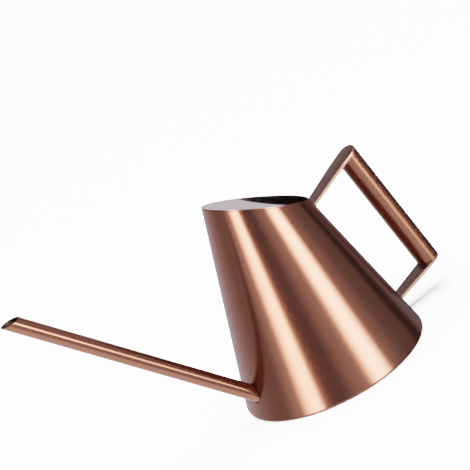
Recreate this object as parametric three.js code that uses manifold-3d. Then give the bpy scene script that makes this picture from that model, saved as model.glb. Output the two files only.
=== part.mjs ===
// Cone-bodied watering can in satin copper-toned stainless steel, about one litre.
//
// Frame, in millimetres: the origin is the centre of the base's underside, +Z is up, the spout
// points along -X and the handle stands on the +X side. The can is symmetric about the XZ plane.
//
// A sheet cone is the body. A disc closes it below and a plate covers the spout side of its slanted
// mouth. A straight tube is the spout. A round tube held between two flat straps is the handle.
// The pieces are welded together, and each run of weld metal is a piece of its own.

import * as THREE from 'three';
import { mergeVertices } from 'three/addons/utils/BufferGeometryUtils.js';
import Module from 'manifold-3d';

const wasm = await Module();
wasm.setup();

// ---------------------------------------------------------------------------
// Driving dimensions
// ---------------------------------------------------------------------------

const degrees = THREE.MathUtils.degToRad;

const SHEET = 0.8; // wall of the body, base, cover and tubes
const GAP = 0.3; // space left between pieces that touch
const WELD_LEG = 1.2; // size of a run of weld metal

const BASE_RADIUS = 68;
const CONE_LEAN = degrees(14.64); // of the wall, inwards from vertical
const BASE_CORNER = 1.5; // radius where the wall turns in under the can
const FOOT_INNER_RADIUS = 62; // inner edge of the wall's turned-in foot

const MOUTH_HEIGHT = 133.6; // of the mouth's plane on the can's axis
const MOUTH_SLOPE = degrees(26.16); // the mouth falls towards the handle
const MOUTH_HIGH_POINT = 150; // just above the rim's highest point

const COVER_EDGE = 5.1; // from the can's axis down the slope to the cover's free edge
const COVER_ARC = 120; // radius of that edge, which bends towards the spout

const GROOVE_RISE = 1.2; // the ring pressed up into the base disc
const GROOVE_INNER = 43;
const GROOVE_OUTER = 53;
const GROOVE_FLANK = 2.5; // width of each sloping side of the ring

const SPOUT_RADIUS = 5.5;
const SPOUT_HEIGHT = 19.84; // where the spout's axis meets the outside of the wall
const SPOUT_RISE = degrees(48.78); // of the spout's axis, from horizontal
const SPOUT_TIP_HEIGHT = 165; // the tip is cut level
const SPOUT_TAIL = 6.2; // length of the tube inside the wall

const STRAP_ROOT_WIDTH = 11.6; // at the wall; a strap widens to the grip's diameter
const STRAP_THICKNESS = 2.1;
const LOWER_STRAP = { height: 11.3, rise: degrees(13) }; // where its middle meets the wall's outside
const UPPER_STRAP = { height: 105.95, rise: degrees(20) };

const GRIP_RADIUS = 8;
const GRIP_LEAN = degrees(11.3); // towards the body, from vertical
const GRIP_FOOT_X = 101; // of the grip's axis at the height below
const GRIP_FOOT_Z = 25;

const FINE = 96; // segments round the can
const TUBE = 40; // segments round a tube
const CORNER_STEPS = 4;
const FAR = 400; // beyond every surface of the can

// ---------------------------------------------------------------------------
// Solids
// ---------------------------------------------------------------------------

/** Turns a closed geometry into a solid that can be joined and cut. */
function solidOf(geometry) {
  geometry.deleteAttribute('normal');
  geometry.deleteAttribute('uv');
  const merged = mergeVertices(geometry, 1e-4);
  return new wasm.Manifold(new wasm.Mesh({
    numProp: 3,
    vertProperties: new Float32Array(merged.attributes.position.array),
    triVerts: new Uint32Array(merged.index.array),
  }));
}

/** Turns a solid back into a geometry. */
function geometryOf(solid) {
  const mesh = solid.getMesh();
  const geometry = new THREE.BufferGeometry();
  geometry.setAttribute('position', new THREE.BufferAttribute(mesh.vertProperties, 3));
  geometry.setIndex(new THREE.BufferAttribute(mesh.triVerts, 1));
  geometry.computeVertexNormals();
  return geometry;
}

/** A solid of revolution about Z from [radius, height] points, listed anticlockwise. */
function turned(outline, segments = FINE) {
  const points = outline.map(([radius, height]) => new THREE.Vector2(radius, height));
  if (outline[0][0] > 0) {
    points.push(points[0].clone());
  }
  return new THREE.LatheGeometry(points, segments).rotateX(Math.PI / 2);
}

/** A round rod along Z between two heights. */
function rod(radius, bottom, top, segments = TUBE) {
  return turned([[0, bottom], [radius, bottom], [radius, top], [0, top]], segments);
}

/** A round pipe along Z between two heights. */
function pipe(inner, outer, bottom, top, segments = TUBE) {
  return turned([[inner, bottom], [outer, bottom], [outer, top], [inner, top]], segments);
}

/** A block between two opposite corners. */
function block(low, high) {
  const size = high.map((value, axis) => value - low[axis]);
  const middle = high.map((value, axis) => (value + low[axis]) / 2);
  return new THREE.BoxGeometry(...size).translate(...middle);
}

// ---------------------------------------------------------------------------
// The cone, the mouth's plane and the places of the spout and straps
// ---------------------------------------------------------------------------

/** Radius, at a height, of the cone that lies a distance inside the wall's outer face. */
function coneRadius(height, inset = 0) {
  return BASE_RADIUS - height * Math.tan(CONE_LEAN) - inset / Math.cos(CONE_LEAN);
}

/** The full cone a distance inside the wall's outer face, from below the base to above the mouth. */
function coneSolid(inset) {
  const bottom = -10;
  return solidOf(turned([
    [0, bottom],
    [coneRadius(bottom, inset), bottom],
    [coneRadius(MOUTH_HIGH_POINT, inset), MOUTH_HIGH_POINT],
    [0, MOUTH_HIGH_POINT],
  ]));
}

/** A layer of the cone's wall between two insets, measured inwards. */
function coneLayer(outerInset, innerInset) {
  return coneSolid(outerInset).subtract(coneSolid(innerInset));
}

/** The mouth's frame: X down its slope, Z square to its plane, the origin on the can's axis. */
function inMouthPlane(geometry) {
  return geometry.rotateY(MOUTH_SLOPE).translate(0, 0, MOUTH_HEIGHT);
}

/** Everything in the mouth's frame between two levels square to its plane. */
function mouthSlab(bottom, top) {
  return solidOf(inMouthPlane(block([-FAR, -FAR, bottom], [FAR, FAR, top])));
}

/** The round cutter whose edge, moved away from the spout by `back`, is the cover's free edge. */
function openingCutter(back) {
  const cutter = rod(COVER_ARC - back, -FAR / 4, FAR / 4, 2 * FINE);
  return solidOf(inMouthPlane(cutter.translate(COVER_EDGE + COVER_ARC, 0, 0)));
}

/** Where the spout's axis meets the outside of the wall, with Z along the axis. */
function atSpout(object) {
  object.position.set(-coneRadius(SPOUT_HEIGHT), 0, SPOUT_HEIGHT);
  object.rotation.y = SPOUT_RISE - Math.PI / 2;
  return object;
}

/** Where a strap's middle meets the wall, with X along the strap. */
function atStrap(object, { height, rise }) {
  object.position.set(coneRadius(height), 0, height);
  object.rotation.y = -rise;
  return object;
}

/** Moves a geometry from a placed object's frame into the can's frame. */
function fromFrameOf(object, geometry) {
  object.updateMatrixWorld(true);
  return geometry.applyMatrix4(object.matrixWorld);
}

/** Moves a geometry from the can's frame into a placed object's frame. */
function intoFrameOf(object, geometry) {
  object.updateMatrixWorld(true);
  return geometry.applyMatrix4(object.matrixWorld.clone().invert());
}

/** The distance along a strap, from the wall, to the grip's axis. */
function gripAxisOnStrap({ height, rise }) {
  const lean = Math.tan(GRIP_LEAN);
  const across = GRIP_FOOT_X - lean * (height - GRIP_FOOT_Z) - coneRadius(height);
  return across / (Math.cos(rise) + lean * Math.sin(rise));
}

// ---------------------------------------------------------------------------
// Body
// ---------------------------------------------------------------------------

/** The wall's section: a turned-in foot, a small corner and the leaning wall. */
function wallOutline() {
  const cornerRadius = (inset) => BASE_CORNER - inset;
  const centreRadius = BASE_RADIUS - BASE_CORNER * (1 + Math.sin(CONE_LEAN)) / Math.cos(CONE_LEAN);
  const corner = (inset) => Array.from({ length: CORNER_STEPS + 1 }, (_, step) => {
    const angle = -Math.PI / 2 + (step / CORNER_STEPS) * (Math.PI / 2 + CONE_LEAN);
    return [
      centreRadius + cornerRadius(inset) * Math.cos(angle),
      BASE_CORNER + cornerRadius(inset) * Math.sin(angle),
    ];
  });
  return [
    [FOOT_INNER_RADIUS, 0],
    ...corner(0),
    [coneRadius(MOUTH_HIGH_POINT), MOUTH_HIGH_POINT],
    [coneRadius(MOUTH_HIGH_POINT, SHEET), MOUTH_HIGH_POINT],
    ...corner(SHEET).reverse(),
    [FOOT_INNER_RADIUS, SHEET],
  ];
}

/** The leaning wall, cut by the mouth, stepped down for the cover and bored for the spout. */
function bodyShell() {
  const hole = rod(SPOUT_RADIUS + GAP, -3 * SPOUT_RADIUS, 3 * SPOUT_RADIUS);
  const seat = mouthSlab(-SHEET - GAP, FAR / 4).subtract(openingCutter(GAP));
  return solidOf(turned(wallOutline()))
    .subtract(mouthSlab(0, FAR))
    .subtract(seat)
    .subtract(solidOf(fromFrameOf(atSpout(new THREE.Object3D()), hole)));
}

/** The disc let into the foot, flat on the ground, with a stiffening ring pressed up into it. */
function basePan() {
  const edge = FOOT_INNER_RADIUS - GAP;
  const ring = (level) => [
    [GROOVE_INNER, level],
    [GROOVE_INNER + GROOVE_FLANK, level + GROOVE_RISE],
    [GROOVE_OUTER - GROOVE_FLANK, level + GROOVE_RISE],
    [GROOVE_OUTER, level],
  ];
  return solidOf(turned([
    [0, 0],
    ...ring(0),
    [edge, 0],
    [edge, SHEET],
    ...ring(SHEET).reverse(),
    [0, SHEET],
  ]));
}

/** The weld inside the can over the joint between the foot and the disc. */
function baseWeld() {
  const bottom = SHEET + GAP;
  const top = bottom + WELD_LEG / 2;
  return solidOf(pipe(FOOT_INNER_RADIUS - WELD_LEG, FOOT_INNER_RADIUS + WELD_LEG, bottom, top, FINE));
}

// ---------------------------------------------------------------------------
// Splash cover
// ---------------------------------------------------------------------------

/** The flat plate over the spout side of the mouth, level with the rim. */
function splashCover() {
  return coneSolid(0).intersect(mouthSlab(-SHEET, 0)).subtract(openingCutter(0));
}

/** The weld under the cover, round the inside of the wall. */
function coverWeld() {
  const top = -SHEET - GAP;
  return coneLayer(SHEET + GAP, SHEET + GAP + WELD_LEG)
    .intersect(mouthSlab(top - WELD_LEG, top))
    .subtract(openingCutter(-WELD_LEG));
}

// ---------------------------------------------------------------------------
// Spout
// ---------------------------------------------------------------------------

/** The spout's tube in its own frame, with its tip cut level. */
function spoutTube() {
  const rise = SPOUT_TIP_HEIGHT - SPOUT_HEIGHT;
  const length = rise / Math.sin(SPOUT_RISE);
  const tipCut = block([-FAR, -FAR, 0], [FAR, FAR, FAR])
    .rotateY(Math.PI / 2 - SPOUT_RISE)
    .translate(0, 0, length);
  const tube = pipe(SPOUT_RADIUS - SHEET, SPOUT_RADIUS, -SPOUT_TAIL, length + 3 * SPOUT_RADIUS);
  return solidOf(tube).subtract(solidOf(tipCut));
}

/** The weld inside the can, round the spout's tail. */
function spoutWeld() {
  const inner = SPOUT_RADIUS + GAP;
  const collar = pipe(inner, inner + WELD_LEG, -3 * SPOUT_RADIUS, 3 * SPOUT_RADIUS);
  const placed = solidOf(fromFrameOf(atSpout(new THREE.Object3D()), collar));
  return placed.intersect(coneLayer(SHEET + GAP, SHEET + GAP + WELD_LEG));
}

// ---------------------------------------------------------------------------
// Handle
// ---------------------------------------------------------------------------

/** A strap in its own frame: a flat bar cut to the wall, widening to a round end under the grip. */
function strap(place) {
  const reach = gripAxisOnStrap(place);
  const root = STRAP_ROOT_WIDTH / 2;
  const outline = new THREE.Shape();
  outline.moveTo(-root, -root);
  outline.lineTo(0, -root);
  outline.lineTo(reach, -GRIP_RADIUS);
  outline.absarc(reach, 0, GRIP_RADIUS, -Math.PI / 2, Math.PI / 2, false);
  outline.lineTo(0, root);
  outline.lineTo(-root, root);
  outline.closePath();
  const bar = new THREE.ExtrudeGeometry(outline, {
    depth: STRAP_THICKNESS,
    bevelEnabled: false,
    curveSegments: TUBE / 2,
  }).translate(0, 0, -STRAP_THICKNESS / 2);
  const frame = atStrap(new THREE.Object3D(), place);
  const cut = solidOf(fromFrameOf(frame, bar)).subtract(coneSolid(-GAP));
  return solidOf(intoFrameOf(frame, geometryOf(cut)));
}

/** The weld round a strap's end, on the outside of the wall, in the can's frame. */
function strapWeld(place) {
  const collar = (margin) => {
    const x = STRAP_ROOT_WIDTH;
    const y = STRAP_ROOT_WIDTH / 2 + margin;
    const z = STRAP_THICKNESS / 2 + margin;
    return solidOf(fromFrameOf(atStrap(new THREE.Object3D(), place), block([-x, -y, -z], [x, y, z])));
  };
  return collar(GAP + WELD_LEG)
    .subtract(collar(GAP))
    .intersect(coneLayer(-GAP - WELD_LEG, -GAP));
}

/** Everything between the facing sides of the two straps, less a gap on each. */
function betweenStraps() {
  const clear = STRAP_THICKNESS / 2 + GAP;
  const above = block([-FAR, -FAR, clear], [FAR, FAR, FAR]);
  const below = block([-FAR, -FAR, -FAR], [FAR, FAR, -clear]);
  const lower = fromFrameOf(atStrap(new THREE.Object3D(), LOWER_STRAP), above);
  const upper = fromFrameOf(atStrap(new THREE.Object3D(), UPPER_STRAP), below);
  return solidOf(lower).intersect(solidOf(upper));
}

/** A frame on the grip's axis, with Z up along it. */
function atGrip(object) {
  object.position.set(GRIP_FOOT_X, 0, GRIP_FOOT_Z);
  object.rotation.y = -GRIP_LEAN;
  return object;
}

/** The round tube between the straps, its ends cut to lie flat on them, in the can's frame. */
function gripTube() {
  const tube = pipe(GRIP_RADIUS - SHEET, GRIP_RADIUS, -FAR / 4, FAR / 2);
  return solidOf(fromFrameOf(atGrip(new THREE.Object3D()), tube)).intersect(betweenStraps());
}

/** The weld in the corner between the grip and a strap, on the side that faces the body. */
function gripWeld(place, side) {
  const collar = pipe(GRIP_RADIUS + GAP, GRIP_RADIUS + GAP + WELD_LEG, -FAR / 4, FAR / 2);
  const face = STRAP_THICKNESS / 2 + GAP;
  const levels = [side * face, side * (face + WELD_LEG)].sort((a, b) => a - b);
  const half = GRIP_RADIUS - WELD_LEG;
  const corner = block([0, -half, levels[0]], [gripAxisOnStrap(place), half, levels[1]]);
  return solidOf(fromFrameOf(atGrip(new THREE.Object3D()), collar))
    .intersect(solidOf(fromFrameOf(atStrap(new THREE.Object3D(), place), corner)));
}

// ---------------------------------------------------------------------------
// Assembly
// ---------------------------------------------------------------------------

const COPPER = { color: 0xa5705a, roughness: 0.3 };
const PALE_COPPER = { color: 0xc2a79b, roughness: 0.3 };
const WELD_METAL = { color: 0x8a6656, roughness: 0.45 };

/** A named mesh of one solid. */
function piece(name, solid, finish) {
  const material = new THREE.MeshStandardMaterial({ ...finish, metalness: 1 });
  const mesh = new THREE.Mesh(geometryOf(solid), material);
  mesh.name = name;
  return mesh;
}

const body = new THREE.Group();
body.add(
  piece('body_shell', bodyShell(), COPPER),
  piece('base_pan', basePan(), COPPER),
  piece('base_weld', baseWeld(), WELD_METAL),
  piece('splash_cover', splashCover(), PALE_COPPER),
  piece('cover_weld', coverWeld(), WELD_METAL),
);

const spout = new THREE.Group();
spout.add(
  atSpout(piece('spout_tube', spoutTube(), COPPER)),
  piece('spout_weld', spoutWeld(), WELD_METAL),
);

const handle = new THREE.Group();
handle.add(
  atStrap(piece('handle_lower_strap', strap(LOWER_STRAP), COPPER), LOWER_STRAP),
  atStrap(piece('handle_upper_strap', strap(UPPER_STRAP), COPPER), UPPER_STRAP),
  piece('handle_grip_tube', gripTube(), COPPER),
  piece('lower_strap_weld', strapWeld(LOWER_STRAP), WELD_METAL),
  piece('upper_strap_weld', strapWeld(UPPER_STRAP), WELD_METAL),
  piece('grip_lower_weld', gripWeld(LOWER_STRAP, 1), WELD_METAL),
  piece('grip_upper_weld', gripWeld(UPPER_STRAP, -1), WELD_METAL),
);

const wateringCan = new THREE.Group();
wateringCan.add(body, spout, handle);

export default wateringCan;
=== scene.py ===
"""Fine surfaces and finishes of a cone-bodied watering can in copper-toned stainless steel.

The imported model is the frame. Every visible piece of sheet and tube is modelled again on it with
fine round surfaces and softened edges, and the small runs of weld metal inside the can keep their
own solids. Lengths are in millimetres until a mesh is finished, and then in metres.
"""

import sys

import logging
import math
from dataclasses import dataclass
from enum import Enum
from typing import Callable, Iterable, Optional, Sequence

import bmesh
import bpy
from bmesh.types import BMEdge, BMesh, BMVert
from mathutils import Matrix, Quaternion, Vector


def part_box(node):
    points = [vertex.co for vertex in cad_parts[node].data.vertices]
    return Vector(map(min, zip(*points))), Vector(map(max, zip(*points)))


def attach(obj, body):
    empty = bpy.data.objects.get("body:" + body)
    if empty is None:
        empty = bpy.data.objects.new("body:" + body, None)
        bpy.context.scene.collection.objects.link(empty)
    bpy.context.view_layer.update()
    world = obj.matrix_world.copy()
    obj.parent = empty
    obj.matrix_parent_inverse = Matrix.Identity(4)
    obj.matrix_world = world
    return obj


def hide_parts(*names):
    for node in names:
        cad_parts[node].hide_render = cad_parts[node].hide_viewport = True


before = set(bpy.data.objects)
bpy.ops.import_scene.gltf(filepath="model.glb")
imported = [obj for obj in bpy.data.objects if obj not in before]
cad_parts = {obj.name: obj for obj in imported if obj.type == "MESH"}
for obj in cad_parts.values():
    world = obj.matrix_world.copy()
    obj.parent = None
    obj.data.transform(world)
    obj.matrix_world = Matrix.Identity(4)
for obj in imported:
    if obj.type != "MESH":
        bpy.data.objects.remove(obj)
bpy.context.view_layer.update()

LOG = logging.getLogger("watering_can")

Colour = tuple[float, float, float]
Pair = tuple[float, float]
Link = bpy.types.NodeSocket
Node = bpy.types.Node

MM = 0.001
ROOT = "root"
ORIGIN = Vector((0, 0, 0))
ALONG = Vector((1, 0, 0))
UP = Vector((0, 0, 1))

# Sides of the round shapes.
ROUND_STEPS = 256
TUBE_STEPS = 96

# Distances, in millimetres, below which points are merged, count as on a plane or are told apart.
MERGE = 1e-4
ON_PLANE = 1e-5
NEAR = 0.02

# Rounds after which a point that slides onto the cone has settled.
SLIDE_ROUNDS = 8

# Brush lines: how much of them is fine, and the scale of the broad part against the fine one.
FINE_SHARE = 0.85
BROAD_SCALE = 0.2

# Values between which nearly all of a noise texture lies.
NOISE_RANGE = (0.3, 0.7)

# Scale of the coating's drift, and radius that lines round the can are unrolled at, in metres.
DRIFT_SCALE = 14.0
RING_RADIUS = 17.0

# A quarter turn of the anisotropy, which stretches reflections across the lines.
ACROSS_LINES = 0.25

# In the studio's nodes the ray depth is 2 in metal that the camera sees, and 3 in metal mirrored there.
SECOND_MIRRORING = 2.5


class Slot(Enum):
    """Material slots of the record."""

    BODY = "brushed_copper_steel"
    COVER = "satin_cover"
    STRAP = "satin_strap"
    TUBE = "polished_copper_tube"
    WELD = "weld_metal"


class Group(Enum):
    """Shared shader effects."""

    BRUSH_LINES = "brush_lines"
    COATING = "coating_tint"
    STUDIO_PANEL = "studio_panel"


# ---------------------------------------------------------------------------
# Shader helpers
# ---------------------------------------------------------------------------


@dataclass
class Tree:
    """A node tree that is being written.

    Args:
        nodes: Nodes of the tree.
        links: Links of the tree.
    """

    nodes: bpy.types.Nodes
    links: bpy.types.NodeLinks

    @classmethod
    def of(cls, owner: bpy.types.ID) -> "Tree":
        """Empties the node tree of a material or world.

        Args:
            owner: The material or world.

        Returns:
            Its tree, ready to be written.
        """
        owner.use_nodes = True
        owner.node_tree.nodes.clear()
        return cls(owner.node_tree.nodes, owner.node_tree.links)

    def add(self, kind: str, inputs: Optional[dict] = None, **options: object) -> Node:
        """Adds a node.

        Args:
            kind: Blender's name of the node type, without its ShaderNode prefix.
            inputs: Values or output sockets for the node's inputs, by name or index.
            options: Attributes of the node.

        Returns:
            The new node.
        """
        node = self.nodes.new(kind if kind.startswith("NodeGroup") else "ShaderNode" + kind)
        for name, value in options.items():
            setattr(node, name, value)
        for key, value in (inputs or {}).items():
            if isinstance(value, bpy.types.NodeSocket):
                self.links.new(value, node.inputs[key])
            else:
                node.inputs[key].default_value = value
        return node

    def math(self, operation: str, first: object, second: object = 0.0) -> Link:
        """Adds a Math node, and returns its result."""
        return self.add("Math", {0: first, 1: second}, operation=operation).outputs[0]

    def ramp(self, value: Link, low: object, high: object, start: float = 0.0, end: float = 1.0) -> Link:
        """Eases from one value to another while a third goes from low to high.

        Args:
            value: What the result depends on.
            low: Its value where the result starts, as a number or a socket.
            high: Its value where the result ends, as a number or a socket.
            start: The result up to low.
            end: The result from high on.

        Returns:
            The result's socket.
        """
        node = self.add(
            "MapRange",
            {"Value": value, "From Min": low, "From Max": high, "To Min": start, "To Max": end},
            interpolation_type="SMOOTHSTEP",
        )
        return node.outputs["Result"]

    def group(self, kind: Group, inputs: dict) -> Node:
        """Places a shared effect, and returns its node."""
        return self.add("Group", inputs, node_tree=bpy.data.node_groups[kind.value])


def new_group(kind: Group, sockets: Sequence[tuple[str, str, str]]) -> tuple[Tree, Node, Node]:
    """Starts a shared node group.

    Args:
        kind: The effect.
        sockets: Name, direction (INPUT or OUTPUT) and socket type of each socket.

    Returns:
        The group's tree, its input node and its output node.
    """
    made = bpy.data.node_groups.new(kind.value, "ShaderNodeTree")
    for name, direction, socket in sockets:
        made.interface.new_socket(name, in_out=direction, socket_type="NodeSocket" + socket)
    tree = Tree(made.nodes, made.links)
    return tree, tree.add("NodeGroupInput"), tree.add("NodeGroupOutput")


def build_brush_lines() -> None:
    """Builds the fine lines left by brushing, which are drawn in a vector squeezed along them."""
    tree, given, result = new_group(
        Group.BRUSH_LINES,
        [
            ("Vector", "INPUT", "Vector"),
            ("Spacing", "INPUT", "Float"),
            ("Depth", "INPUT", "Float"),
            ("Lines", "OUTPUT", "Float"),
            ("Normal", "OUTPUT", "Vector"),
        ],
    )
    density = tree.math("DIVIDE", 1.0, given.outputs["Spacing"])
    fine = tree.add(
        "TexNoise",
        {"Vector": given.outputs["Vector"], "Scale": density, "Detail": 3.0, "Roughness": 0.65},
        noise_dimensions="3D",
    )
    broad = tree.add(
        "TexNoise",
        {
            "Vector": given.outputs["Vector"],
            "Scale": tree.math("MULTIPLY", density, BROAD_SCALE),
            "Detail": 1.0,
            "Roughness": 0.4,
        },
        noise_dimensions="3D",
    )
    fine_part = tree.math("MULTIPLY", fine.outputs[0], FINE_SHARE)
    broad_part = tree.math("MULTIPLY", broad.outputs[0], 1 - FINE_SHARE)
    lines = tree.math("ADD", fine_part, broad_part)
    bump = tree.add("Bump", {"Strength": 1.0, "Distance": given.outputs["Depth"], "Height": lines})
    tree.links.new(tree.ramp(lines, *NOISE_RANGE), result.inputs["Lines"])
    tree.links.new(bump.outputs["Normal"], result.inputs["Normal"])


def build_coating_tint() -> None:
    """Builds the drift of a coating between two tones, with the brush lines showing faintly in it."""
    tree, given, result = new_group(
        Group.COATING,
        [
            ("Vector", "INPUT", "Vector"),
            ("Lines", "INPUT", "Float"),
            ("Tone", "INPUT", "Color"),
            ("Other Tone", "INPUT", "Color"),
            ("Line Contrast", "INPUT", "Float"),
            ("Color", "OUTPUT", "Color"),
        ],
    )
    drift = tree.add("TexNoise", {"Vector": given.outputs["Vector"], "Scale": DRIFT_SCALE, "Detail": 2.0})
    share = tree.ramp(drift.outputs[0], *NOISE_RANGE)
    tones = tree.add(
        "Mix",
        {0: share, 6: given.outputs["Tone"], 7: given.outputs["Other Tone"]},
        data_type="RGBA",
    )
    centred = tree.math("SUBTRACT", given.outputs["Lines"], 0.5)
    swing = tree.math("MULTIPLY", centred, given.outputs["Line Contrast"])
    shaded = tree.add(
        "VectorMath",
        {0: tones.outputs[2], 3: tree.math("ADD", swing, 1.0)},
        operation="SCALE",
    )
    tree.links.new(shaded.outputs[0], result.inputs["Color"])


def build_studio_panel() -> None:
    """Builds the light of one soft panel: a colour that depends only on the direction looked in."""
    tree, given, result = new_group(
        Group.STUDIO_PANEL,
        [
            ("Direction", "INPUT", "Vector"),
            ("Azimuth", "INPUT", "Float"),
            ("Right Edge", "INPUT", "Float"),
            ("Left Edge", "INPUT", "Float"),
            ("Right Fade", "INPUT", "Float"),
            ("Left Fade", "INPUT", "Float"),
            ("Bottom", "INPUT", "Float"),
            ("Top", "INPUT", "Float"),
            ("End Fade", "INPUT", "Float"),
            ("Light", "INPUT", "Color"),
            ("Color", "OUTPUT", "Color"),
        ],
    )
    get = given.outputs
    turned = tree.add(
        "VectorRotate",
        {"Vector": get["Direction"], "Angle": tree.math("MULTIPLY", get["Azimuth"], -1.0)},
        rotation_type="Z_AXIS",
    )
    xyz = tree.add("SeparateXYZ", {0: turned.outputs[0]}).outputs
    around = tree.math("ARCTAN2", xyz[1], xyz[0])
    height = tree.math("ARCSINE", xyz[2])
    sides = [
        tree.ramp(around, tree.math("SUBTRACT", get["Right Edge"], get["Right Fade"]), get["Right Edge"]),
        tree.ramp(around, get["Left Edge"], tree.math("ADD", get["Left Edge"], get["Left Fade"]), 1.0, 0.0),
        tree.ramp(height, tree.math("SUBTRACT", get["Bottom"], get["End Fade"]), get["Bottom"]),
        tree.ramp(height, get["Top"], tree.math("ADD", get["Top"], get["End Fade"]), 1.0, 0.0),
    ]
    shape = sides[0]
    for side in sides[1:]:
        shape = tree.math("MULTIPLY", shape, side)
    light = tree.add("VectorMath", {0: get["Light"], 3: shape}, operation="SCALE")
    tree.links.new(light.outputs[0], result.inputs["Color"])


# ---------------------------------------------------------------------------
# Finishes
# ---------------------------------------------------------------------------


class Grain(Enum):
    """Which way a finish's brush lines run."""

    ROUND_CAN = "round the can's axis"
    ALONG_PIECE = "along the piece"


@dataclass(frozen=True)
class MetalFinish:
    """A coated or bare metal finish.

    Args:
        name: Name of the material.
        tone: Colour of the metal.
        other_tone: Colour that the coating drifts towards.
        roughness: Roughness of the smoothest lines.
        roughness_swing: How much rougher the roughest lines are.
        anisotropy: How far the lines stretch reflections across themselves.
        spacing: Distance between lines, in millimetres.
        depth: Depth of a line, in millimetres.
        line_contrast: How far the lines lighten and darken the colour.
        stretch: Length of a line over its width.
        grain: Which way the lines run.
    """

    name: str
    tone: Colour
    other_tone: Colour
    roughness: float
    roughness_swing: float
    anisotropy: float = 0.0
    spacing: float = 0.5
    depth: float = 0.004
    line_contrast: float = 0.08
    stretch: float = 60.0
    grain: Grain = Grain.ALONG_PIECE

    def line_vector(self, tree: Tree, turn: Matrix) -> Link:
        """Makes the coordinates that the brush lines are drawn in.

        Args:
            tree: The material's tree.
            turn: Rotation that brings the line direction of a piece onto X.

        Returns:
            The coordinates, in metres, squeezed along the lines.
        """
        where = tree.add("TexCoord").outputs["Object"]
        if self.grain is Grain.ALONG_PIECE:
            angles = turn.to_euler()
            mapped = tree.add(
                "Mapping",
                {"Vector": where, "Rotation": angles, "Scale": (1 / self.stretch, 1, 1)},
                vector_type="POINT",
            )
            return mapped.outputs[0]
        xyz = tree.add("SeparateXYZ", {0: where}).outputs
        flat = tree.add("CombineXYZ", {0: xyz[0], 1: xyz[1]})
        ring = tree.add("VectorMath", {0: flat.outputs[0]}, operation="NORMALIZE")
        shrink = 1 / (RING_RADIUS * self.stretch)
        small = tree.add("VectorMath", {0: ring.outputs[0], 3: shrink}, operation="SCALE")
        tall = tree.add("CombineXYZ", {2: xyz[2]})
        both = {0: small.outputs[0], 1: tall.outputs[0]}
        return tree.add("VectorMath", both, operation="ADD").outputs[0]

    def material(self, turn: Matrix = Matrix.Identity(4), suffix: str = "") -> bpy.types.Material:
        """Makes the material.

        Args:
            turn: Rotation that brings the line direction of a piece onto X.
            suffix: Added to the material's name.

        Returns:
            The new material.
        """
        made = bpy.data.materials.new(self.name + suffix)
        tree = Tree.of(made)
        lines = tree.group(
            Group.BRUSH_LINES,
            {
                "Vector": self.line_vector(tree, turn),
                "Spacing": self.spacing * MM,
                "Depth": self.depth * MM,
            },
        )
        coating = tree.group(
            Group.COATING,
            {
                "Vector": tree.add("TexCoord").outputs["Object"],
                "Lines": lines.outputs["Lines"],
                "Tone": (*self.tone, 1),
                "Other Tone": (*self.other_tone, 1),
                "Line Contrast": self.line_contrast,
            },
        )
        rough = tree.math(
            "ADD",
            tree.math("MULTIPLY", lines.outputs["Lines"], self.roughness_swing),
            self.roughness,
        )
        inputs = {
            "Base Color": coating.outputs["Color"],
            "Metallic": 1.0,
            "Roughness": rough,
            "Anisotropic": self.anisotropy,
            "Anisotropic Rotation": ACROSS_LINES if self.anisotropy else 0.0,
            "Normal": lines.outputs["Normal"],
        }
        if self.anisotropy:
            inputs["Tangent"] = tree.add("Tangent", direction_type="RADIAL", axis="Z").outputs[0]
        shader = tree.add("BsdfPrincipled", inputs)
        tree.add("OutputMaterial", {"Surface": shader.outputs[0]})
        return made


COPPER: Colour = (0.70, 0.252, 0.168)
COPPER_DRIFT: Colour = (0.67, 0.252, 0.172)

BRUSHED_BODY = MetalFinish(
    "brushed_copper",
    COPPER,
    COPPER_DRIFT,
    roughness=0.235,
    roughness_swing=0.02,
    anisotropy=0.9,
    spacing=0.3,
    depth=0.00004,
    line_contrast=0.012,
    stretch=22.0,
    grain=Grain.ROUND_CAN,
)
SATIN_COVER = MetalFinish(
    "satin_cover",
    (0.72, 0.32, 0.24),
    (0.70, 0.32, 0.245),
    roughness=0.2,
    roughness_swing=0.04,
    spacing=0.4,
    depth=0.001,
)
POLISHED_TUBE = MetalFinish(
    "polished_copper",
    COPPER,
    COPPER_DRIFT,
    roughness=0.14,
    roughness_swing=0.015,
    depth=0.00005,
    line_contrast=0.012,
)
SATIN_GRIP = MetalFinish(
    "satin_grip",
    COPPER,
    COPPER_DRIFT,
    roughness=0.22,
    roughness_swing=0.015,
    spacing=0.4,
    depth=0.00005,
    line_contrast=0.012,
)
SATIN_STRAP = MetalFinish(
    "satin_strap",
    (0.62, 0.30, 0.222),
    (0.58, 0.29, 0.222),
    roughness=0.27,
    roughness_swing=0.06,
)
INSIDE_STEEL = MetalFinish(
    "inside_steel",
    (0.33, 0.27, 0.27),
    (0.29, 0.24, 0.24),
    roughness=0.42,
    roughness_swing=0.1,
    spacing=0.8,
)
DARK_BORE = MetalFinish(
    "dark_bore",
    (0.20, 0.13, 0.12),
    (0.16, 0.11, 0.10),
    roughness=0.42,
    roughness_swing=0.1,
    spacing=0.8,
)
WELD_METAL = MetalFinish(
    "weld_metal",
    (0.42, 0.20, 0.14),
    (0.30, 0.18, 0.16),
    roughness=0.36,
    roughness_swing=0.14,
    spacing=0.9,
    depth=0.02,
    stretch=2.0,
)


# ---------------------------------------------------------------------------
# Mesh helpers
# ---------------------------------------------------------------------------


def open_profile(bm: BMesh, points: Iterable[Pair]) -> list[BMEdge]:
    """Draws connected edges in the XZ plane.

    Args:
        bm: The mesh.
        points: Radius and height of each point.

    Returns:
        The new edges.
    """
    verts = [bm.verts.new((radius, 0, height)) for radius, height in points]
    return [bm.edges.new(pair) for pair in zip(verts, verts[1:])]


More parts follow.
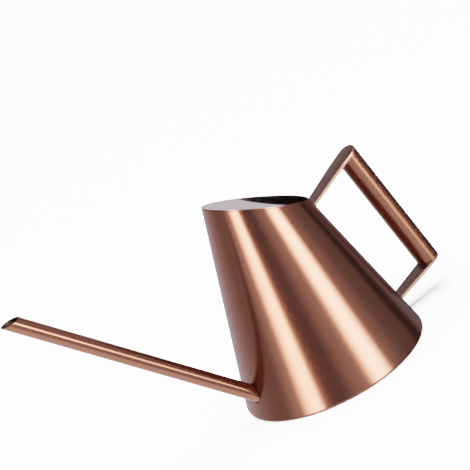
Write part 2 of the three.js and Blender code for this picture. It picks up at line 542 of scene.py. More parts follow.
def spin_round(bm: BMesh, edges: Sequence[BMEdge], steps: int) -> None:
    """Turns a profile into a full surface of revolution about Z, with its poles and seam closed.

    Args:
        bm: The mesh.
        edges: The profile's edges.
        steps: Number of steps round the axis.
    """
    verts = dict.fromkeys(vert for edge in edges for vert in edge.verts)
    bmesh.ops.spin(
        bm,
        geom=[*verts, *edges],
        cent=ORIGIN,
        axis=UP,
        dvec=ORIGIN,
        angle=math.tau,
        steps=steps,
        use_merge=True,
    )
    bmesh.ops.remove_doubles(bm, verts=bm.verts, dist=MERGE)


def cut_away(bm: BMesh, point: Vector, normal: Vector) -> None:
    """Removes everything on the side of a plane that its normal points to.

    Args:
        bm: The mesh.
        point: A point on the plane.
        normal: The plane's normal.
    """
    bmesh.ops.bisect_plane(
        bm,
        geom=[*bm.verts, *bm.edges, *bm.faces],
        dist=ON_PLANE,
        plane_co=point,
        plane_no=normal,
        clear_outer=True,
    )


def cut_through(bm: BMesh, point: Vector, normal: Vector) -> None:
    """Adds edges where a plane crosses the mesh.

    Args:
        bm: The mesh.
        point: A point on the plane.
        normal: The plane's normal.
    """
    bmesh.ops.bisect_plane(
        bm,
        geom=[*bm.verts, *bm.edges, *bm.faces],
        dist=ON_PLANE,
        plane_co=point,
        plane_no=normal,
    )


def face_outwards(bm: BMesh, centre: Vector) -> None:
    """Makes all normals agree and point away from a point inside.

    Args:
        bm: The mesh, which may be open.
        centre: The point inside.
    """
    bmesh.ops.recalc_face_normals(bm, faces=bm.faces)
    outward = 0.0
    for face in bm.faces:
        outward += face.normal.dot(face.calc_center_median() - centre) * face.calc_area()
    if outward < 0:
        bmesh.ops.reverse_faces(bm, faces=bm.faces)


def soften(bm: BMesh, edges: Sequence[BMEdge], offset: float, segments: int) -> None:
    """Rounds edges off.

    Args:
        bm: The mesh.
        edges: The edges.
        offset: Distance from each edge to where its rounding starts.
        segments: Number of faces across the rounding.
    """
    bmesh.ops.bevel(
        bm,
        geom=edges,
        offset=offset,
        offset_type="OFFSET",
        segments=segments,
        profile=0.5,
        affect="EDGES",
        clamp_overlap=True,
        material=-1,
    )


def arc(centre: Pair, radius: float, start: float, end: float, steps: int) -> list[Pair]:
    """Divides an arc in a plane.

    Args:
        centre: Its centre.
        radius: Its radius.
        start: Angle of its first point, in radians.
        end: Angle of its last point, in radians.
        steps: Number of steps between the two.

    Returns:
        Its points, with both ends.
    """
    angles = (start + (end - start) * step / steps for step in range(steps + 1))
    return [(centre[0] + radius * math.cos(a), centre[1] + radius * math.sin(a)) for a in angles]


@dataclass
class Piece:
    """A finished piece of the object.

    Args:
        name: Name of the piece.
        bm: Its mesh in millimetres, which is used up.
        materials: Its materials, the outer one first.
        slot: The record's material slot; not used.
        replaces: CAD nodes that it stands for.
        wall: Thickness that is added inwards, or 0 for a solid mesh.
        cutters: Solids that are cut out of it, and used up.
        edge: Radius of its softened edges, or 0 for none.
        edge_angle: Edges sharper than this are softened.
        edge_segments: Number of faces across a softened edge.
    """

    name: str
    bm: BMesh
    materials: Sequence[bpy.types.Material]
    slot: Slot
    replaces: Sequence[str]
    wall: float = 0.0
    cutters: Sequence[bpy.types.Object] = ()
    edge: float = 0.2
    edge_angle: float = math.radians(40)
    edge_segments: int = 3

    def make(self) -> bpy.types.Object:
        """Finishes the mesh, places the piece on the frame and reports it.

        Returns:
            The piece's object.
        """
        made = object_of(self.name, self.bm)
        for material in self.materials:
            made.data.materials.append(material)
        if self.wall:
            shell = made.modifiers.new("wall", "SOLIDIFY")
            shell.thickness = self.wall * MM
            shell.offset = -1
            shell.use_even_offset = True
            shell.material_offset = len(self.materials) - 1
        for cutter in self.cutters:
            cut = made.modifiers.new("cut", "BOOLEAN")
            cut.operation = "DIFFERENCE"
            cut.solver = "EXACT"
            cut.object = cutter
        if self.edge:
            soft = made.modifiers.new("edges", "BEVEL")
            soft.width = self.edge * MM
            soft.segments = self.edge_segments
            soft.limit_method = "ANGLE"
            soft.angle_limit = self.edge_angle
            soft.harden_normals = True
            soft.use_clamp_overlap = True
        apply_modifiers(made)
        for cutter in self.cutters:
            bpy.data.objects.remove(cutter)
        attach(made, ROOT)
        if self.replaces:
            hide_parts(*self.replaces)
        LOG.info("%s: %d faces, for %s", made.name, len(made.data.polygons), ", ".join(self.replaces))
        return made


def object_of(name: str, bm: BMesh) -> bpy.types.Object:
    """Turns a mesh in millimetres into a linked, smooth-shaded object in metres.

    Args:
        name: Name of the object.
        bm: The mesh, which is used up.

    Returns:
        The object.
    """
    bmesh.ops.scale(bm, vec=(MM, MM, MM), verts=bm.verts)
    mesh = bpy.data.meshes.new(name)
    bm.to_mesh(mesh)
    bm.free()
    mesh.shade_smooth()
    made = bpy.data.objects.new(name, mesh)
    bpy.context.scene.collection.objects.link(made)
    return made


def apply_modifiers(made: bpy.types.Object) -> None:
    """Bakes an object's modifiers into its mesh.

    Args:
        made: The object.
    """
    bpy.context.view_layer.update()
    evaluated = made.evaluated_get(bpy.context.evaluated_depsgraph_get())
    mesh = bpy.data.meshes.new_from_object(evaluated)
    made.modifiers.clear()
    made.data = mesh
    mesh.name = made.name


# ---------------------------------------------------------------------------
# Shared geometry of the can
# ---------------------------------------------------------------------------


@dataclass(frozen=True)
class Cone:
    """The outside of the body's wall.

    Args:
        base_radius: Radius at the ground.
        lean: Lean of the wall inwards from vertical, in radians.
    """

    base_radius: float = 68.0
    lean: float = math.radians(14.64)

    @property
    def apex(self) -> Vector:
        """The point that the wall runs towards."""
        return UP * (self.base_radius / math.tan(self.lean))

    def radius(self, height: float, inset: float = 0.0) -> float:
        """Radius at a height, and at an inset from the wall's outer face."""
        return self.base_radius - height * math.tan(self.lean) - inset / math.cos(self.lean)

    def surface(self, bm: BMesh, span: Pair, inset: float = 0.0, capped: bool = False) -> None:
        """Adds the cone's side between two heights.

        Args:
            bm: The mesh that it is added to.
            span: The two heights, the lower one first.
            inset: Its distance inside the wall's outer face.
            capped: Whether its ends are closed.
        """
        bottom, top = span
        bmesh.ops.create_cone(
            bm,
            cap_ends=capped,
            segments=ROUND_STEPS,
            radius1=self.radius(bottom, inset),
            radius2=self.radius(top, inset),
            depth=top - bottom,
            matrix=Matrix.Translation(UP * (top + bottom) / 2),
        )

    def meet(self, point: Vector, direction: Vector, gap: float = 0.0) -> Vector:
        """Slides a point onto the cone.

        Args:
            point: The point.
            direction: Direction that it slides in, which leads away from the axis.
            gap: Distance outside the wall at which it stops.

        Returns:
            The point's new place.
        """
        for _ in range(SLIDE_ROUNDS):
            short = math.hypot(point.x, point.y) - self.radius(point.z, -gap)
            point = point - direction * short
        return point


@dataclass(frozen=True)
class Mouth:
    """The slanted plane of the can's mouth.

    Args:
        height: Height of the plane on the can's axis.
        slope: Its fall towards the handle, in radians.
    """

    height: float = 133.6
    slope: float = math.radians(26.16)

    @property
    def matrix(self) -> Matrix:
        """The mouth's frame: X down its slope, Z square to its plane."""
        return Matrix.Translation(UP * self.height) @ Matrix.Rotation(self.slope, 4, "Y")

    def level(self, bm: BMesh, z: float, cut: Callable[[BMesh, Vector, Vector], None]) -> None:
        """Cuts a mesh parallel to the mouth's plane.

        Args:
            bm: The mesh.
            z: Distance of the cut above the mouth's plane.
            cut: How it is cut.
        """
        normal = self.matrix.to_3x3() @ UP
        cut(bm, self.matrix @ (UP * z), normal)


CONE = Cone()
MOUTH = Mouth()

# Thickness of the sheet metal, and gap kept between neighbouring pieces.
SHEET = 0.8
GAP = 0.3

# A point well inside the can.
MIDDLE = UP * 60


# ---------------------------------------------------------------------------
# Body
# ---------------------------------------------------------------------------


@dataclass
class Body:
    """The cone, its base and the cover over the spout side of its mouth.

    Args:
        spout_hole: Makes the solid that bores the wall for the spout.
        corner: Radius where the wall turns in under the can.
        corner_steps: Number of steps round that corner.
        foot_inner: Inner radius of the turned-in foot.
        rings: Number of rings that the wall's side is divided into.
        high_point: A height just above the rim.
        cover_middle: Distance down the slope, from the axis, to the middle of the cover's free edge.
        cover_ends: Distance down the slope to the ends of that edge.
        cover_steps: Number of steps along that edge.
        groove: Inner and outer radius of the ring pressed up into the base.
        groove_rise: Height of that ring.
        groove_flank: Width of each of its sloping sides.
    """

    spout_hole: Callable[[], bpy.types.Object]
    corner: float = 1.62
    corner_steps: int = 10
    foot_inner: float = 62.0
    rings: int = 15
    high_point: float = 150.0
    cover_middle: float = 5.1
    cover_ends: float = 9.75
    cover_steps: int = 64
    groove: Pair = (43.0, 53.0)
    groove_rise: float = 1.2
    groove_flank: float = 2.5

    def wall_profile(self) -> list[Pair]:
        """Draws the outer face of the wall.

        Returns:
            Radius and height of its points, from the foot to above the rim.
        """
        lean = CONE.lean
        inset = self.corner * (1 + math.sin(lean)) / math.cos(lean)
        centre = (CONE.base_radius - inset, self.corner)
        bend = arc(centre, self.corner, -math.pi / 2, lean, self.corner_steps)
        first = bend[-1][1]
        rise = (self.high_point - first) / self.rings
        heights = [first + rise * (step + 1) for step in range(self.rings)]
        return [(self.foot_inner, 0.0), *bend, *((CONE.radius(height), height) for height in heights)]

    def wall(self) -> bpy.types.Object:
        """Builds the leaning wall, cut by the mouth and stepped down under the cover.

        Returns:
            The finished piece.
        """
        bm = bmesh.new()
        spin_round(bm, open_profile(bm, self.wall_profile()), ROUND_STEPS)
        seat = -(SHEET + GAP)
        end = self.cover_ends + GAP
        frame_of_mouth = MOUTH.matrix
        MOUTH.level(bm, 0, cut_away)
        MOUTH.level(bm, seat, cut_through)
        cut_through(bm, frame_of_mouth @ (ALONG * end), frame_of_mouth.to_3x3() @ ALONG)
        into_mouth = frame_of_mouth.inverted()
        centres = ((face, into_mouth @ face.calc_center_median()) for face in bm.faces)
        above = [face for face, centre in centres if centre.z > seat and centre.x < end]
        bmesh.ops.delete(bm, geom=above, context="FACES")
        face_outwards(bm, MIDDLE)
        return Piece(
            "body_wall",
            bm,
            [BRUSHED_BODY.material(), INSIDE_STEEL.material()],
            Slot.BODY,
            ["body_shell"],
            wall=SHEET,
            cutters=[self.spout_hole()],
            edge=0.2,
        ).make()

    def cover(self) -> bpy.types.Object:
        """Builds the flat cover, its rim flush with the cone and its free edge bent to an arc.

        Returns:
            The finished piece.
        """
        bm = bmesh.new()
        CONE.surface(bm, (MIDDLE.z, self.high_point))
        into_mouth = MOUTH.matrix.inverted()
        bmesh.ops.transform(bm, matrix=into_mouth, verts=bm.verts)
        bmesh.ops.bisect_plane(
            bm,
            geom=[*bm.verts, *bm.edges, *bm.faces],
            dist=ON_PLANE,
            plane_co=ORIGIN,
            plane_no=UP,
            clear_outer=True,
            clear_inner=True,
        )
        cut_away(bm, ALONG * self.cover_ends, ALONG)
        ends = [vert for vert in bm.verts if abs(vert.co.x - self.cover_ends) < NEAR]
        first = min(ends, key=lambda vert: vert.co.y)
        half = abs(first.co.y)
        sag = self.cover_ends - self.cover_middle
        radius = (half * half + sag * sag) / (2 * sag)
        bmesh.ops.spin(
            bm,
            geom=[first],
            cent=(self.cover_middle + radius, 0, 0),
            axis=UP,
            dvec=ORIGIN,
            angle=-2 * math.asin(half / radius),
            steps=self.cover_steps,
        )
        bmesh.ops.remove_doubles(bm, verts=bm.verts, dist=NEAR)
        bmesh.ops.contextual_create(bm, geom=bm.edges[:])
        apex = into_mouth @ CONE.apex
        grow = (apex.z + SHEET) / apex.z
        extruded = bmesh.ops.extrude_face_region(bm, geom=bm.faces[:])["geom"]
        lower = [vert for vert in extruded if isinstance(vert, BMVert)]
        bmesh.ops.scale(bm, vec=(grow, grow, grow), verts=lower, space=Matrix.Translation(-apex))
        bmesh.ops.transform(bm, matrix=MOUTH.matrix, verts=bm.verts)
        bmesh.ops.recalc_face_normals(bm, faces=bm.faces)
        return Piece(
            "mouth_cover",
            bm,
            [SATIN_COVER.material(Matrix.Rotation(math.radians(90), 4, "Z"))],
            Slot.COVER,
            ["splash_cover"],
            edge=0.15,
        ).make()

    def base(self) -> bpy.types.Object:
        """Builds the base disc with the stiffening ring pressed up into it.

        Returns:
            The finished piece.
        """
        inner, outer = self.groove
        profile = [
            (0.0, 0.0),
            (inner, 0.0),
            (inner + self.groove_flank, self.groove_rise),
            (outer - self.groove_flank, self.groove_rise),
            (outer, 0.0),
            (self.foot_inner - GAP, 0.0),
        ]
        bm = bmesh.new()
        spin_round(bm, open_profile(bm, profile), ROUND_STEPS)
        face_outwards(bm, MIDDLE)
        return Piece(
            "base_disc",
            bm,
            [BRUSHED_BODY.material(suffix="_base"), INSIDE_STEEL.material(suffix="_base")],
            Slot.BODY,
            ["base_pan"],
            wall=SHEET,
            edge=0.35,
            edge_angle=math.radians(15),
        ).make()

    def build(self) -> None:
        """Builds every piece of the body."""
        self.wall()
        self.cover()
        self.base()


# ---------------------------------------------------------------------------
# Spout
# ---------------------------------------------------------------------------


@dataclass
class Spout:
    """The straight spout.

    Args:
        radius: Outer radius of the tube.
        height: Height where its axis meets the outside of the wall.
        rise: Rise of its axis from horizontal, in radians.
        tail: Length of the tube inside the wall.
        joint: Open joint between the tube and the wall's outer face.
    """

    radius: float = 5.5
    height: float = 19.84
    rise: float = math.radians(48.78)
    tail: float = 6.2
    joint: float = 0.5

    @property
    def matrix(self) -> Matrix:
        """The spout's frame, with Z along its axis."""
        foot = Vector((-CONE.radius(self.height), 0, self.height))
        return Matrix.Translation(foot) @ Matrix.Rotation(self.rise - math.pi / 2, 4, "Y")

    def hole_cutter(self) -> bpy.types.Object:
        """Makes the solid that bores the wall for the spout.

        Returns:
            The solid, to be cut out of the wall.
        """
        bm = bmesh.new()
        bmesh.ops.create_cone(
            bm,
            cap_ends=True,
            segments=TUBE_STEPS,
            radius1=self.radius + self.joint,
            radius2=self.radius + self.joint,
            depth=8 * self.radius,
            matrix=self.matrix,
        )
        return object_of("spout_hole", bm)

    def tube(self, tip: float) -> BMesh:
        """Builds the closed wall of the tube.

        Args:
            tip: Height of the level cut at its tip.

        Returns:
            The mesh, with its inner faces on the second material.
        """
        bore = self.radius - SHEET
        beyond = (tip - self.height) / math.sin(self.rise) + 3 * self.radius
        profile = [(self.radius, beyond), (self.radius, -self.tail), (bore, -self.tail), (bore, beyond)]
        bm = bmesh.new()
        spin_round(bm, open_profile(bm, profile), TUBE_STEPS)
        for face in bm.faces:
            middle = face.calc_center_median()
            inside = math.hypot(middle.x, middle.y) < bore
            face.material_index = int(inside)
        bmesh.ops.transform(bm, matrix=self.matrix, verts=bm.verts)
        cut_away(bm, UP * tip, UP)
        lips = [edge for edge in bm.edges if edge.is_boundary]
        ring = bmesh.ops.bridge_loops(bm, edges=lips)
        for face in ring["faces"]:
            face.material_index = 0
        bmesh.ops.recalc_face_normals(bm, faces=bm.faces)
        return bm

    def build(self) -> None:
        """Builds the tube, its tip cut level."""
        along = Matrix.Rotation(self.rise, 4, "Y")
        Piece(
            "spout",
            self.tube(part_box("spout_tube")[1].z / MM),
            [POLISHED_TUBE.material(along), DARK_BORE.material(suffix="_spout")],
            Slot.TUBE,
            ["spout_tube"],
            edge=0.2,
        ).make()


# ---------------------------------------------------------------------------
# Handle
# ---------------------------------------------------------------------------


@dataclass(frozen=True)
class Strap:
    """One flat strap of the handle.

    Args:
        name: Which strap it is.
        height: Height where its middle meets the outside of the wall.
        rise: Its rise from horizontal, in radians.
        outer_side: -1 where its outer face is below, and 1 where it is above.
    """

    name: str
    height: float
    rise: float
    outer_side: int

    @property
    def matrix(self) -> Matrix:
        """The strap's frame: X along it, Z square to it, the origin on the wall."""
        foot = Vector((CONE.radius(self.height), 0, self.height))
        return Matrix.Translation(foot) @ Matrix.Rotation(-self.rise, 4, "Y")


@dataclass
class Handle:
    """The round grip and the two flat straps that hold it.

    Args:
        root_width: Width of a strap at the wall.
        thickness: Thickness of a strap.
        grip_radius: Outer radius of the grip, and of a strap's round end.
        grip_lean: Lean of the grip towards the body, in radians.
        grip_foot: X and Z of a point on the grip's axis.
        grip_blank: Length of the grip's tube before its ends are cut.
        end_round: Radius of a strap's outer edge round its end.
        end_steps: Number of steps round that end.
        cutter_span: Lowest and highest point of the cone that the straps' roots are cut to.
        bead: Radius of a run of weld metal.
        ripple: How far a run of weld metal swells and shrinks, as a part of its radius.
        ripple_steps: Number of steps along a run from one swelling to the next.
        root_steps: Number of steps of the run round a strap's root.
        root_square: Power that squares that run's round path off to the bar's outline.
        corner_sweep: How far the run between grip and strap goes round each side of the grip.
        corner_steps: Number of steps of that run.
    """

    root_width: float = 11.6
    thickness: float = 2.1
    grip_radius: float = 8.0
    grip_lean: float = math.radians(11.3)
    grip_foot: Pair = (101.0, 25.0)
    grip_blank: float = 300.0
    end_round: float = 1.5
    end_steps: int = 32
    cutter_span: Pair = (-20.0, 160.0)
    bead: float = 0.6
    ripple: float = 0.1
    ripple_steps: int = 4
    root_steps: int = 120
    root_square: float = 0.35
    corner_sweep: float = math.radians(80)
    corner_steps: int = 48
    straps: Sequence[Strap] = (
        Strap("lower", 11.3, math.radians(13), -1),
        Strap("upper", 105.95, math.radians(20), 1),
    )

    @property
    def grip_matrix(self) -> Matrix:
        """The grip's frame, with Z up along its axis."""
        foot = Vector((self.grip_foot[0], 0, self.grip_foot[1]))
        return Matrix.Translation(foot) @ Matrix.Rotation(-self.grip_lean, 4, "Y")

    def reach(self, strap: Strap) -> float:
        """Measures along a strap from the wall to the grip's axis.

        Args:
            strap: The strap.

        Returns:
            The distance.
        """
        lean = math.tan(self.grip_lean)
        axis = self.grip_foot[0] - lean * (strap.height - self.grip_foot[1])
        across = axis - CONE.radius(strap.height)
        return across / (math.cos(strap.rise) + lean * math.sin(strap.rise))

    def wall_cutter(self) -> bpy.types.Object:
        """Makes the solid cone that a strap's root is cut to.

        Returns:
            The solid, to be cut out of the strap.
        """
        bm = bmesh.new()
        CONE.surface(bm, self.cutter_span, inset=-GAP, capped=True)
        return object_of("wall_cutter", bm)

    def strap(self, strap: Strap) -> bpy.types.Object:
        """Builds a strap: a flat bar that widens to a round end, with softened edges.

        Args:
            strap: Which strap it is.

        Returns:
            The finished piece.
        """
        bm = bmesh.new()
        root = self.root_width / 2
        reach = self.reach(strap)
        end = arc((reach, 0), self.grip_radius, -math.pi / 2, math.pi / 2, self.end_steps)
        outline = [(-root, -root), (0, -root), *end, (0, root), (-root, root)]
        bottom = [bm.verts.new((x, y, -self.thickness / 2)) for x, y in outline]
        face = bm.faces.new(bottom)
        extruded = bmesh.ops.extrude_face_region(bm, geom=[face])["geom"]
        raised = [vert for vert in extruded if isinstance(vert, BMVert)]
        bmesh.ops.translate(bm, vec=UP * self.thickness, verts=raised)
        bmesh.ops.recalc_face_normals(bm, faces=bm.faces)
        level = strap.outer_side * self.thickness / 2
        rounded = {v for v in bm.verts if abs(v.co.z - level) < NEAR and v.co.x > reach - NEAR}
        outer = [edge for edge in bm.edges if rounded.issuperset(edge.verts)]
        soften(bm, outer, offset=self.end_round, segments=6)
        bmesh.ops.transform(bm, matrix=strap.matrix, verts=bm.verts)
        along = Matrix.Rotation(strap.rise, 4, "Y")
        return Piece(
            f"{strap.name}_strap",
            bm,
            [SATIN_STRAP.material(along, f"_{strap.name}")],
            Slot.STRAP,
            [f"handle_{strap.name}_strap"],
            cutters=[self.wall_cutter()],
            edge=0.3,
        ).make()

    def grip(self) -> bpy.types.Object:
        """Builds the round tube between the straps.

        Returns:
            The finished piece.
        """
        bm = bmesh.new()
        bmesh.ops.create_cone(
            bm,
            cap_ends=False,
            segments=TUBE_STEPS,
            radius1=self.grip_radius,
            radius2=self.grip_radius,
            depth=self.grip_blank,
            matrix=self.grip_matrix,
        )
        clear = self.thickness / 2 + GAP
        for strap in self.straps:
            normal = strap.matrix.to_3x3() @ UP * strap.outer_side
            cut_away(bm, strap.matrix.translation - normal * clear, normal)
        face_outwards(bm, self.grip_matrix @ (MIDDLE / 2))
        along = Matrix.Rotation(math.pi / 2 - self.grip_lean, 4, "Y")
        return Piece(
            "grip",
            bm,
            [SATIN_GRIP.material(along), DARK_BORE.material(suffix="_grip")],
            Slot.TUBE,
            ["handle_grip_tube"],
            wall=SHEET,
            edge=0.2,
        ).make()

    def root_weld(self, strap: Strap) -> bpy.types.Object:
        """Builds the bead of weld metal round a strap's root.

        Args:
            strap: Which strap it is.

        Returns:
            The finished piece.
        """
        half = (self.root_width / 2 + GAP, self.thickness / 2 + GAP)
        along = strap.matrix.to_3x3() @ ALONG
        path = []
        for step in range(self.root_steps):
            angle = math.tau * step / self.root_steps
            y, z = (
                math.copysign(abs(part) ** self.root_square, part) * size
                for part, size in zip((math.cos(angle), math.sin(angle)), half)
            )
            path.append(CONE.meet(strap.matrix @ Vector((0, y, z)), along, self.bead / 2))
        return self.bead_along(f"{strap.name}_root_weld", path, f"{strap.name}_strap_weld", True)

    def grip_weld(self, strap: Strap) -> bpy.types.Object:
        """Builds the bead in the corner between the grip and a strap, on the side facing the body.

        Args:
            strap: Which strap it is.

        Returns:
            The finished piece.
        """
        level = self.thickness / 2 + self.bead
        radius = self.grip_radius + self.bead
        path = []
        for step in range(self.corner_steps + 1):
            angle = math.pi + self.corner_sweep * (2 * step / self.corner_steps - 1)
            side = Vector((self.reach(strap) + radius * math.cos(angle), radius * math.sin(angle), 0))
            path.append(strap.matrix @ (side - UP * strap.outer_side * level))
        return self.bead_along(f"{strap.name}_grip_weld", path, f"grip_{strap.name}_weld", False)

    def bead_along(self, name: str, path: Sequence[Vector], node: str, closed: bool) -> bpy.types.Object:
        """Lays a bead with faint ripples along a path and makes it a piece.

        Args:
            name: Name of the piece.
            path: Points of the bead's centreline.
            node: CAD node that it stands for.
            closed: Whether the bead runs back to its start.

        Returns:
            The finished piece.
        """
        curve = bpy.data.curves.new(name, "CURVE")
        curve.dimensions = "3D"
        curve.bevel_depth = self.bead
        curve.bevel_resolution = 3
        curve.use_fill_caps = not closed
        spline = curve.splines.new("POLY")
        spline.points.add(len(path) - 1)
        spline.use_cyclic_u = closed
        for number, (point, place) in enumerate(zip(spline.points, path)):
            point.co = (*place, 1)
            point.radius = 1 + self.ripple * math.sin(number * math.tau / self.ripple_steps)
        holder = bpy.data.objects.new(name + "_path", curve)
        bm = bmesh.new()
        bm.from_mesh(holder.to_mesh())
        bpy.data.objects.remove(holder)
        bpy.data.curves.remove(curve)
        bmesh.ops.remove_doubles(bm, verts=bm.verts, dist=MERGE)
        bmesh.ops.recalc_face_normals(bm, faces=bm.faces)
        return Piece(name, bm, [WELD_METAL.material(suffix="_" + name)], Slot.WELD, [node], edge=0).make()

    def build(self) -> None:
        """Builds every piece of the handle."""
        self.grip()
        for strap in self.straps:
            self.strap(strap)
            self.root_weld(strap)
            self.grip_weld(strap)


def dress_inner_welds() -> None:
    """Gives the runs of weld metal inside the can their material."""
    metal = WELD_METAL.material(suffix="_inside")
    for node in ("base_weld", "cover_weld", "spout_weld"):
        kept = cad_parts[node]
        kept.data.materials.clear()
        kept.data.materials.append(metal)
        LOG.info("%s: kept as it is", node)


# ---------------------------------------------------------------------------
# Studio
# ---------------------------------------------------------------------------


@dataclass(frozen=True)
class Panel:
    """One soft source of light round the can, placed by direction. Angles are in degrees.

    Args:
        azimuth: Direction of its middle, anticlockwise from +X.
        half_width: Half of the width at full strength.
        fades: Width of its fading sides, the clockwise one first.
        span: Elevation of its bottom and top.
        end_fade: Height of its fading ends.
        strength: Radiance, negative for a dark card that takes light away.
        tint: Colour of its light.
    """

    azimuth: float
    half_width: float
    fades: Pair
    span: Pair
    end_fade: float
    strength: float
    tint: Colour


# Tints of the panels' light, and the colour that a dark card takes away.
WARM: Colour = (1.12, 0.91, 0.75)
PALE: Colour = (1.09, 0.95, 0.81)
SOFT: Colour = (0.98, 1.04, 1.06)
COOL: Colour = (0.86, 1.0, 1.18)
DARK: Colour = (1.0, 1.15, 1.34)

PANELS = (
    # The strip light to the left of the camera, with a faint glow round it that pales the left edge.
    Panel(-154, 3.5, (17, 4), (-12, 44), 8, 9.6, WARM),
    Panel(-173, 6, (16, 13), (-30, 44), 10, 0.24, SOFT),
    Panel(-192, 24, (34, 16), (-30, 44), 10, 0.085, SOFT),
    # The strip light to the right of the camera, with its glow.
    Panel(-70.5, 3.5, (15, 12), (-12, 44), 8, 11.0, PALE),
    Panel(-91, 8, (24, 22), (-30, 44), 14, 0.24, SOFT),
    Panel(-58, 4, (12, 30), (-26, 44), 12, 0.15, SOFT),
    # The cool room behind the can and over its handle, which cover, straps and tubes mirror.
    Panel(83, 3, (11, 68), (-50, 14), 22, 0.54, COOL),
    Panel(60, 4, (8, 14), (-8, -2), 4, 1.15, COOL),
    Panel(8, 42, (26, 20), (12, 50), 14, 0.14, SOFT),
    # The pale ground, near and further off, which the undersides of the tubes mirror.
    Panel(-165, 105, (20, 30), (-78, -56), 18, 0.66, SOFT),
    Panel(-126, 24, (20, 20), (-36, -29), 6, 0.34, SOFT),
    # The right edge of the wall: a faint cool light, and a dark card beside it.
    Panel(29, 5, (9, 12), (-30, 30), 14, 0.065, COOL),
    Panel(4.6, 6.2, (4, 5), (-60, 40), 14, -0.073, DARK),
)


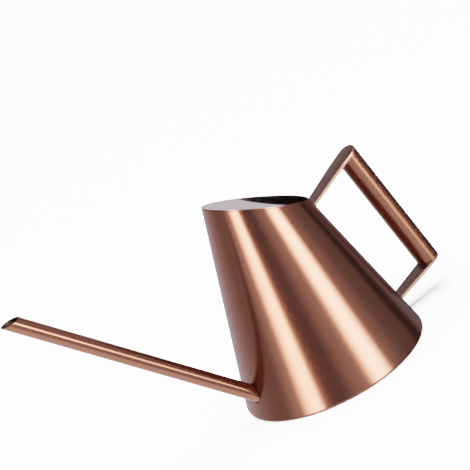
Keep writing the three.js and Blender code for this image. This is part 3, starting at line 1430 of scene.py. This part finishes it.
@dataclass
class Studio:
    """Camera, surroundings, floor and lamp.

    Args:
        azimuth: Where the camera stands round the can, in degrees.
        elevation: Its height above the horizon, in degrees.
        roll: Its turn about its own line of sight, in degrees.
        distance: Distance from the target.
        target: The point it looks at.
        lens: Focal length.
        sight: How far the camera sees, in metres.
        ambient: Light of the dark parts of the studio.
        echo: Light of the studio in metal that is mirrored in metal.
        backdrop: Radiance of the studio where the camera itself sees it.
        lamp_height: Height of the lamp over the floor, in metres.
        lamp_size: Its side, in metres.
        lamp_power: Its power, in watts.
        floor_half: Half of the floor's side, in metres.
        floor_drop: Distance of the floor below the can.
        floor_tones: The two greys that the floor drifts between.
    """

    azimuth: float = -23.56
    elevation: float = 19.29
    roll: float = -28.23
    distance: float = 2053.5
    target: tuple[float, float, float] = (-9.46, 23.95, 111.91)
    lens: float = 229.8
    sight: float = 100.0
    ambient: Colour = (0.093, 0.105, 0.122)
    echo: Colour = (0.13, 0.20, 0.25)
    backdrop: float = 9.0
    lamp_height: float = 2.4
    lamp_size: float = 2.6
    lamp_power: float = 900.0
    floor_half: float = 12.0
    floor_drop: float = 0.05
    floor_tones: Pair = (0.90, 0.93)

    def camera(self) -> None:
        """Makes the camera."""
        data = bpy.data.cameras.new("camera")
        data.lens = self.lens
        data.clip_end = self.sight
        made = bpy.data.objects.new("camera", data)
        bpy.context.scene.collection.objects.link(made)
        around, above = math.radians(self.azimuth), math.radians(self.elevation)
        flat = math.cos(above)
        back = Vector((math.sin(around) * flat, -math.cos(around) * flat, math.sin(above)))
        turn = (-back).to_track_quat("-Z", "Y") @ Quaternion(UP, math.radians(self.roll))
        made.rotation_mode = "QUATERNION"
        made.rotation_quaternion = turn
        made.location = (Vector(self.target) + back * self.distance) * MM
        bpy.context.scene.camera = made

    def surroundings(self) -> None:
        """Makes the studio that the metal mirrors: dark, with soft panels round the can."""
        world = bpy.data.worlds.new("studio")
        world.cycles.sampling_method = "NONE"
        bpy.context.scene.world = world
        tree = Tree.of(world)
        direction = tree.add("TexCoord").outputs["Generated"]
        total = tree.add("CombineXYZ", dict(enumerate(self.ambient))).outputs[0]
        for panel in PANELS:
            light = tree.group(
                Group.STUDIO_PANEL,
                {
                    "Direction": direction,
                    "Azimuth": math.radians(panel.azimuth),
                    "Right Edge": math.radians(-panel.half_width),
                    "Left Edge": math.radians(panel.half_width),
                    "Right Fade": math.radians(panel.fades[0]),
                    "Left Fade": math.radians(panel.fades[1]),
                    "Bottom": math.radians(panel.span[0]),
                    "Top": math.radians(panel.span[1]),
                    "End Fade": math.radians(panel.end_fade),
                    "Light": (*(part * abs(panel.strength) for part in panel.tint), 1),
                },
            )
            join = "ADD" if panel.strength > 0 else "SUBTRACT"
            total = tree.add("VectorMath", {0: total, 1: light.outputs[0]}, operation=join).outputs[0]
        path = tree.add("LightPath").outputs
        twice = tree.math("GREATER_THAN", path["Ray Depth"], SECOND_MIRRORING)
        light = tree.add("Mix", {0: twice, 6: total, 7: (*self.echo, 1)}, data_type="RGBA")
        pale = (self.backdrop, self.backdrop, self.backdrop, 1)
        inputs = {0: path["Is Camera Ray"], 6: light.outputs[2], 7: pale}
        colour = tree.add("Mix", inputs, data_type="RGBA")
        background = tree.add("Background", {"Color": colour.outputs[2], "Strength": 1.0})
        tree.add("OutputWorld", {"Surface": background.outputs[0]})

    def floor(self) -> None:
        """Makes the plain pale floor, which the metal doesn't mirror."""
        bm = bmesh.new()
        bmesh.ops.create_grid(bm, x_segments=1, y_segments=1, size=self.floor_half / MM)
        bmesh.ops.translate(bm, vec=-UP * self.floor_drop, verts=bm.verts)
        made = object_of("floor", bm)
        made.visible_glossy = False
        paper = bpy.data.materials.new("pale_paper")
        tree = Tree.of(paper)
        where = tree.add("TexCoord").outputs["Object"]
        mottle = tree.add("TexNoise", {"Vector": where, "Scale": 3.0, "Detail": 3.0})
        dark, light = ((tone, tone, tone, 1) for tone in self.floor_tones)
        tones = tree.add("Mix", {0: mottle.outputs[0], 6: dark, 7: light}, data_type="RGBA")
        shader = tree.add("BsdfPrincipled", {"Base Color": tones.outputs[2], "Roughness": 0.9})
        tree.add("OutputMaterial", {"Surface": shader.outputs[0]})
        made.data.materials.append(paper)

    def lamp(self) -> None:
        """Makes the large soft lamp over the floor, which the metal doesn't mirror."""
        data = bpy.data.lights.new("overhead_lamp", "AREA")
        data.shape = "SQUARE"
        data.size = self.lamp_size
        data.energy = self.lamp_power
        made = bpy.data.objects.new("overhead_lamp", data)
        made.location = UP * self.lamp_height
        made.visible_glossy = False
        made.visible_camera = False
        bpy.context.scene.collection.objects.link(made)

    def build(self) -> None:
        """Builds the studio, the camera first."""
        self.camera()
        self.surroundings()
        self.floor()
        self.lamp()
        bpy.context.scene.view_settings.view_transform = "Filmic"
        bpy.context.scene.view_settings.look = "None"


def main() -> None:
    """Builds the studio and every sub-assembly in order."""
    logging.basicConfig(level=logging.INFO, format="%(message)s", stream=sys.stdout)
    for build_group in (build_brush_lines, build_coating_tint, build_studio_panel):
        build_group()
    Studio().build()
    spout = Spout()
    Body(spout_hole=spout.hole_cutter).build()
    spout.build()
    Handle().build()
    dress_inner_welds()


if __name__ == "__main__":
    main()
